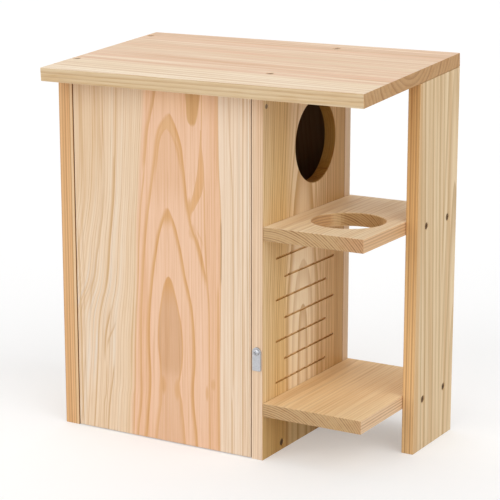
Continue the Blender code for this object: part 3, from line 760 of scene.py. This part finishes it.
def paint_door():
    """Flat-sawn front board: two arches and a long eye in the heartwood, fine slanting lines beside it."""
    door = DoorWood()
    place, height = door.place, door.height
    colour = door_sapwood(door)
    colour, heartwood, forms = door_heartwood(door, colour)
    lines = door_lines(door, heartwood, forms)
    colour = blend(lines, colour, blend(heartwood, DOOR_LINE_IN_SAP, DOOR_LINE_IN_HEART))
    seam = line(place - curve(height, HEART_RIGHT) + 0.2, 0.9) * between(height, 205, 275, 8)
    colour = blend(seam * 0.7, colour, DOOR_SEAM)

    # A golden resin stain under the top edge
    stain = (place - curve(height, STAIN_LEFT)).at_most(curve(height, STAIN_RIGHT) - place)
    colour = blend(smooth(stain, -0.8, 1.6) * smooth(height, 382, 388) * 0.85, colour, DOOR_STAIN)
    # Painted shade on the door's face towards the nest
    colour = paint_nest_shade(door, colour, Y, 1)
    door.finish(colour, lines, door.grain, raised=0)


def paint_roof():
    """Straight soft streaks: creamy sapwood along the front edge, pinker heartwood behind."""
    board = Board("roof_board", X, Y, Z, 0, 1, 12.1)
    run, depth = board.run, board.depth
    place = board.side + run * 0.04 + board.wobble(30, 300, 4) + board.wobble(8, 120, 0.8)
    colour = colour_run(place, ROOF_BANDS)
    streaks = noise(place / 5, run / 480, depth / 30, 2.0, 0.6, 3.7)
    behind = smooth(place, 60, 74)
    colour = blend(smooth(streaks, 0.02, 0.26) * behind * 0.95, colour, ROOF_STREAK_BEHIND)
    colour = blend(smooth(streaks * -1, 0.03, 0.3) * behind * 0.85, colour, ROOF_GLEAM_BEHIND)
    colour = blend(smooth(streaks, 0.05, 0.35) * (1 - behind) * 0.7, colour, ROOF_STREAK_IN_FRONT)
    colour = blend(smooth(streaks * -1, 0.05, 0.35) * (1 - behind) * 0.8, colour, ROOF_GLEAM_IN_FRONT)
    radius = distance(place - ROOF_PITH_PLACE, ROOF_PITH_ABOVE - run * 0.01 + depth)
    rings = yearly_rings(board, radius / 7.5)
    faint = thin_lines(board, place / 9.5).at_least(thin_lines(board, place / 4.3) * 0.65)
    on_top = (1 - board.end_grain) * (1 - board.edge)
    edge_grain = yearly_rings(board, depth / 4.6 + place / 90) * board.edge
    lines = faint * on_top + rings * board.end_grain + edge_grain * 0.55
    colour = blend(board.edge * 0.9, colour, ROOF_EDGE)
    colour = blend(board.end_grain * 0.85, colour, ROOF_END)
    line_colour = blend(board.edge.at_least(board.end_grain), ROOF_LINE_ON_TOP, ROOF_LINE_AT_EDGES)
    colour = blend(lines, colour, line_colour)
    # Painted shade on the roof's underside over the nest
    x, y, _ = board.places
    painted_shade_over_nest = between(x, NEST_LEFT, NEST_RIGHT, 1)
    painted_shade_over_nest = painted_shade_over_nest * smooth(y, NEST_FRONT - 1, NEST_FRONT + 1) * board.facing(Z, -1)
    colour = tint(painted_shade_over_nest, colour, NEST_PAINTED_SHADE)
    board.finish(colour, lines, place)


def paint_left_panel():
    """Orange heartwood whose front edge shows close dark lines."""
    board = Board("left_side_panel", Z, Y, X, LEFT_PITH, -1, 21.7)
    side = board.side + board.wobble(30, 300, 3) + board.wobble(8, 140, 0.6)
    radius = distance(side, curve(board.run, LEFT_ARCH) + board.depth)
    edge_place = board.depth + board.wobble(9, 240, 0.7)
    edge_colour = blend(smooth(edge_place, 14, 17), LEFT_EDGE, LEFT_EDGE_INSIDE)
    colour = blend(smooth(side, 60, 90), LEFT_HEART, LEFT_SAP)
    colour = blend(board.edge, colour, edge_colour)
    rings = yearly_rings(board, radius / 5.5)
    marks = edge_lines(board, edge_place, LEFT_EDGE_LINES, 2.7, 0.5)
    lines = rings * (1 - board.edge) * 0.7 + marks * board.edge
    colour = blend(lines, colour, LEFT_LINE)
    # Painted shade on the panel's face towards the nest
    colour = paint_nest_shade(board, colour, X, 1)
    board.finish(colour, lines)


def paint_right_panel():
    """Yellow-tan panel with an arch under the entrance, a pale front edge and dark grooves."""
    board = Board("right_side_panel", Z, Y, X, RIGHT_PITH, 1, 33.9)
    run, depth = board.run, board.depth
    side = board.side + board.wobble(34, 260, 1.6) + board.wobble(8, 120, 0.5)
    radius = distance(side, curve(run, RIGHT_ARCH) + depth)
    years = radius.at_most(RIGHT_WIDE_RINGS) / 14 + (radius - RIGHT_WIDE_RINGS).at_least(0) / 4.3
    rings = yearly_rings(board, years)
    place = side + RIGHT_PITH
    colour = colour_run(place, RIGHT_BANDS)
    streaks = noise(place / 9, run / 300, depth / 20, 2.0, 0.5, 2.7)
    colour = tint(smooth(streaks, 0.0, 0.4) * smooth(place, 96, 116), colour, REAR_STREAK)
    colour = tint(smooth(streaks * -1, 0.0, 0.4) * smooth(place, 96, 116), colour, REAR_GLEAM)
    colour = blend(between(place, 62, 116, 14) * (1 - smooth(run, 205, 260)), colour, RIGHT_PALE_BELOW)
    edge_place = depth + board.wobble(9, 260, 0.6)
    edge_colour = blend(smooth(run, 60, 260), RIGHT_EDGE_BELOW, RIGHT_EDGE_ABOVE)
    colour = blend(board.edge, colour, edge_colour)
    marks = edge_lines(board, edge_place, RIGHT_EDGE_LINES, 2.9, 0.3)
    fine = thin_lines(board, place / 3.4) * between(place, -5, 62, 6)
    rear = thin_lines(board, place / 7.5) * smooth(place, 108, 124)
    on_faces = (rings * (0.95 + board.end_grain * 0.05)).at_least(fine.at_least(rear))
    lines = on_faces * (1 - board.edge) + marks * board.edge
    colour = blend(lines, colour, blend(board.edge, RIGHT_LINE, RIGHT_LINE_AT_EDGE))
    _, y, z = board.places
    # The entrance's wall is darker: partly the saw's burnish, partly painted shade inside the hole
    colour = tint(hole_wall(y, z, ENTRANCE), colour, ENTRANCE_WALL_BURNISH_AND_SHADE)
    # Painted shade: browner and darker near the ground, below the lower platform
    colour = tint((1 - smooth(z, 40, 75)) * (1 - board.edge), colour, PAINTED_SHADE_NEAR_GROUND)
    # The grooves' walls are darker: partly the sawn wood, partly painted shade in the recesses
    groove = smooth(depth, 0.3, 1.2) * (1 - smooth(depth, 2.8, 3.2))
    groove = groove * between(y, GROOVES_FRONT, GROOVES_BACK, 2) * between(z, GROOVES_LOW, GROOVES_HIGH, 5)
    colour = tint(groove, colour, GROOVE_WALL_SAWN_AND_SHADE)
    # Painted shade on the panel's face towards the nest
    colour = paint_nest_shade(board, colour, X, -1)
    board.finish(colour, lines)


def paint_post():
    """Cream and tan stripes that lean a little; orange along the front edge."""
    board = Board("porch_post", Z, Y, X, 0, 1, 85.5)
    run, depth = board.run, board.depth
    place = board.side + (run - POST_TOP) * 0.038 + board.wobble(30, 260, 2.2) + board.wobble(8, 110, 0.6)
    front_zone = 1 - smooth(board.side + (run - POST_TOP) * 0.01 + board.wobble(9, 90, 1.5), 5, 9)
    broad = noise(place / 13, run / 420, depth / 40, 1.0, 0.5, 6.1)
    colour = blend(smooth(broad, -0.2, 0.4), POST_LIGHT, POST_DARK)
    rear_zone = smooth(board.side, 62, 80)
    heavy = yearly_rings(board, (place + 4) / 10.5, 0.8)
    fine = thin_lines(board, place / 3.6)
    bow = place - POST_ARCH_PLACE
    arch = yearly_rings(board, ((bow * bow + POST_ARCH_ROUNDNESS) ** 0.5 + run * 0.06) / 9)
    stripes = heavy.at_least(fine * 0.75) * (1 - rear_zone) + arch * rear_zone * 0.95
    edge_place = depth + board.wobble(9, 240, 0.6)
    colour = blend(front_zone * 0.8, colour, POST_FRONT)
    edge_colour = blend(smooth(run, 60, 360), POST_EDGE_BELOW, POST_EDGE_ABOVE)
    colour = blend(board.edge, colour, edge_colour)
    marks = edge_lines(board, edge_place, POST_EDGE_LINES, 2.9, 0.4)
    lines = stripes * (1 - board.edge) * (1 - front_zone * 0.5) + marks * board.edge
    colour = blend(lines, colour, blend(board.edge, POST_LINE, POST_LINE_AT_EDGE))
    board.finish(colour, lines)


def platform_wood(node, middle, seed, redder_from, top, front, long_edge):
    """A flat board with its grain running back, so that its front edge shows the rings' ends as arcs."""
    board = Board(node, Y, X, Z, middle, -1, seed)
    run, depth = board.run, board.depth
    side = board.side + board.wobble(30, 200, 1.5)
    radius = distance(side, PLATFORM_PITH_BELOW + depth + board.wobble(12, 60, 0.5))
    mottled = 0.95 + 0.7 * noise(side / 9, run / 60, depth / 5, 2.0, 0.6, seed + 4)
    rings = (yearly_rings(board, radius / 2.7) * mottled).at_most(1)
    place = side + middle
    broad = noise(place / 14, run / 260, depth / 30, 1.0, 0.5, seed + 1)
    # Painted light: the top is lighter towards the front edge, out of the roof's shade
    painted_light_towards_front = 1 - smooth(run, 20, 110)
    colour = tint(smooth(broad, -0.2, 0.4), blend(painted_light_towards_front, top, front), PLATFORM_BAND)
    edge_grain = yearly_rings(board, depth / 3.6 + board.wobble(20, 120, 0.2)) * board.edge
    colour = blend(board.edge, colour, long_edge)
    sawn = board.end_grain
    sawn_colour = blend(smooth(place, redder_from, redder_from + 40), PLATFORM_END, PLATFORM_END_RIGHT)
    colour = blend(sawn, colour, sawn_colour)
    lines = rings * sawn + edge_grain + rings * (1 - sawn) * (1 - board.edge) * 0.65
    dark = blend(sawn, blend(board.edge, PLATFORM_LINE, PLATFORM_LINE_AT_EDGE), PLATFORM_LINE_AT_END)
    colour = blend(lines, colour, dark)
    return board, colour, lines


def paint_platforms():
    """Both platforms; the upper one has a darker wall to its hole, with a small knot."""
    # Each platform's front colour is painted light, lighter than its top further back
    board, colour, lines = platform_wood(
        "upper_platform", middle=4, seed=63.4, redder_from=81,
        top=(0.93, 0.745, 0.50), front=(0.97, 0.80, 0.55), long_edge=(0.76, 0.50, 0.28))
    x, y, z = board.places
    # The hole's wall is darker: partly the saw's burnish, partly painted shade inside the hole
    wall = hole_wall(x, y, HATCH)
    colour = tint(wall, colour, HATCH_WALL_BURNISH_AND_SHADE)
    knot = spot(y, z, KNOT_MIDDLE, KNOT_SIZE) * wall * smooth(x, KNOT_FROM - 2.5, KNOT_FROM + 2.5)
    colour = tint(knot, colour, HATCH_KNOT)
    board.finish(colour, lines, sawn_factor=PLATFORM_SAWN)
    board, colour, lines = platform_wood(
        "lower_platform", middle=-4, seed=74.6, redder_from=105,
        top=(0.91, 0.66, 0.37), front=(0.92, 0.67, 0.38), long_edge=(0.82, 0.58, 0.36))
    board.finish(colour, lines, sawn_factor=PLATFORM_SAWN)


def paint_hidden_board(node, along, across, deep, middle, face, seed, inner_axis, inner_sign):
    """Back and floor boards: wide soft arches that rise along the board."""
    board = Board(node, along, across, deep, middle, face, seed)
    side = board.side + board.wobble(50, 260, 4) + board.wobble(10, 100, 0.8)
    radius = distance(side, curve(board.run, HIDDEN_ARCH) + board.depth)
    years = radius.at_most(HIDDEN_WIDE_RINGS) / 11 + (radius - HIDDEN_WIDE_RINGS).at_least(0) / 5.5
    rings = yearly_rings(board, years)
    heartwood = 1 - smooth(radius + board.wobble(14, 200, 3), 62, 70)
    colour = blend(heartwood, HIDDEN_SAP, HIDDEN_HEART)
    edge_grain = yearly_rings(board, board.depth / 3.6) * board.edge
    lines = rings * (1 - board.edge) * 0.8 + edge_grain * 0.7
    colour = blend(lines, colour, HIDDEN_RING)
    # Painted shade on the board's face towards the nest
    colour = paint_nest_shade(board, colour, inner_axis, inner_sign)
    board.finish(colour, lines)


def paint_boards():
    """Puts its own wood on every board."""
    paint_door()
    paint_roof()
    paint_left_panel()
    paint_right_panel()
    paint_post()
    paint_platforms()
    paint_hidden_board("back_panel", Z, X, Y, 150, 1, 41.2, Y, -1)
    paint_hidden_board("floor_panel", X, Y, Z, 90, 1, 52.8, Z, 1)


def metal(name, colour, metallic, roughness, nodes, mottle):
    """Metal with fine scratches, and patches where its colour is mottle times as bright."""
    material, tree, shader = new_material(name)
    (x, y, z), _ = surface_place(tree)
    patches = noise(x / 2.5, y / 2.5, z / 2.5, 3.0, 0.6, 5.0)
    scratches = noise(x / 0.4, y / 0.4, z / 4.0, 2.0, 0.5, 8.0)
    base = blend(smooth(patches, -0.5, 0.6), colour, tuple(part * mottle for part in colour))
    tree.links.new(base, shader.inputs["Base Color"])
    shader.inputs["Metallic"].default_value = metallic
    connect(tree, roughness + patches * 0.08 + scratches * 0.06, shader.inputs["Roughness"])
    add_relief(tree, shader, scratches + patches * 0.5, METAL_RELIEF)
    for node in nodes:
        put_on(node, material)


def paint_metal():
    """Brown wood screws, dull nails and the zinc latch."""
    screws = [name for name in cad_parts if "_screw_" in name]
    nails = [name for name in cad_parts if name.startswith("pivot_nail")]
    metal("bronzed_screw_steel", (0.22, 0.125, 0.055), 0.9, 0.55, screws, 0.65)
    metal("dull_nail_steel", (0.30, 0.20, 0.11), 0.9, 0.5, nails, 0.8)
    metal("zinc_plate", (0.53, 0.54, 0.57), 0.85, 0.38, ["latch_plate", "latch_screw"], 0.82)


def make_floor():
    """Pale plain floor that keeps the house's shadow and looks white where nothing shades it."""
    half = FLOOR_SIZE / 2
    mesh = bpy.data.meshes.new("floor")
    corners = [(-half, -half, 0), (half, -half, 0), (half, half, 0), (-half, half, 0)]
    mesh.from_pydata(corners, [], [(0, 1, 2, 3)])
    floor = bpy.data.objects.new("floor", mesh)
    bpy.context.scene.collection.objects.link(floor)
    material, tree, shader = new_material("pale_floor")
    shader.inputs["Base Color"].default_value = (FLOOR_COLOUR, FLOOR_COLOUR, FLOOR_COLOUR, 1)
    shader.inputs["Roughness"].default_value = 1.0
    shader.inputs["Specular IOR Level"].default_value = 0.0
    shader.inputs["Emission Color"].default_value = (1, 1, 1, 1)
    rays = tree.nodes.new("ShaderNodeLightPath")
    seen = Field(tree, rays.outputs["Is Camera Ray"])
    mirrored = Field(tree, rays.outputs["Is Glossy Ray"])
    connect(tree, seen.at_least(mirrored) * FLOOR_CAMERA_GLOW, shader.inputs["Emission Strength"])
    mesh.materials.append(material)


def make_sky():
    """Even white surroundings: plain white to the eye, and a lower level as light."""
    world = bpy.data.worlds.new("studio")
    bpy.context.scene.world = world
    world.use_nodes = True
    tree = world.node_tree
    tree.nodes.clear()
    rays = tree.nodes.new("ShaderNodeLightPath")
    seen = Field(tree, rays.outputs["Is Camera Ray"])
    for name in ("Is Glossy Ray", "Is Transmission Ray"):
        seen = seen.at_least(Field(tree, rays.outputs[name]))
    background = tree.nodes.new("ShaderNodeBackground")
    background.inputs["Color"].default_value = (1, 1, 1, 1)
    connect(tree, SKY_LEVEL + seen * (1 - SKY_LEVEL), background.inputs["Strength"])
    output = tree.nodes.new("ShaderNodeOutputWorld")
    tree.links.new(background.outputs[0], output.inputs["Surface"])


def make_lamps():
    """Soft lamps in front, above and at the side."""
    for name, lamp in LAMPS.items():
        light = bpy.data.lights.new(name, "SUN")
        light.energy = lamp["level"] * math.pi
        light.angle = math.radians(lamp["softness_deg"])
        holder = bpy.data.objects.new(name, light)
        holder.rotation_euler = Vector(lamp["towards"]).to_track_quat("Z", "Y").to_euler()
        bpy.context.scene.collection.objects.link(holder)


def make_camera():
    """The camera, at the side and height from which the house is seen."""
    side = math.radians(CAMERA_SIDE_DEG)
    height = math.radians(CAMERA_HEIGHT_DEG)
    away = Vector((math.sin(side) * math.cos(height), -math.cos(side) * math.cos(height), math.sin(height)))
    lens = bpy.data.cameras.new("camera")
    lens.lens = CAMERA_LENS
    lens.sensor_width = CAMERA_SENSOR
    camera = bpy.data.objects.new("camera", lens)
    camera.location = Vector(CAMERA_TARGET) + away * CAMERA_DISTANCE
    camera.rotation_euler = (-away).to_track_quat("-Z", "Y").to_euler()
    bpy.context.scene.collection.objects.link(camera)
    bpy.context.scene.camera = camera


paint_boards()
paint_metal()
make_floor()
make_sky()
make_lamps()
make_camera()
bpy.context.scene.view_settings.view_transform = "Standard"
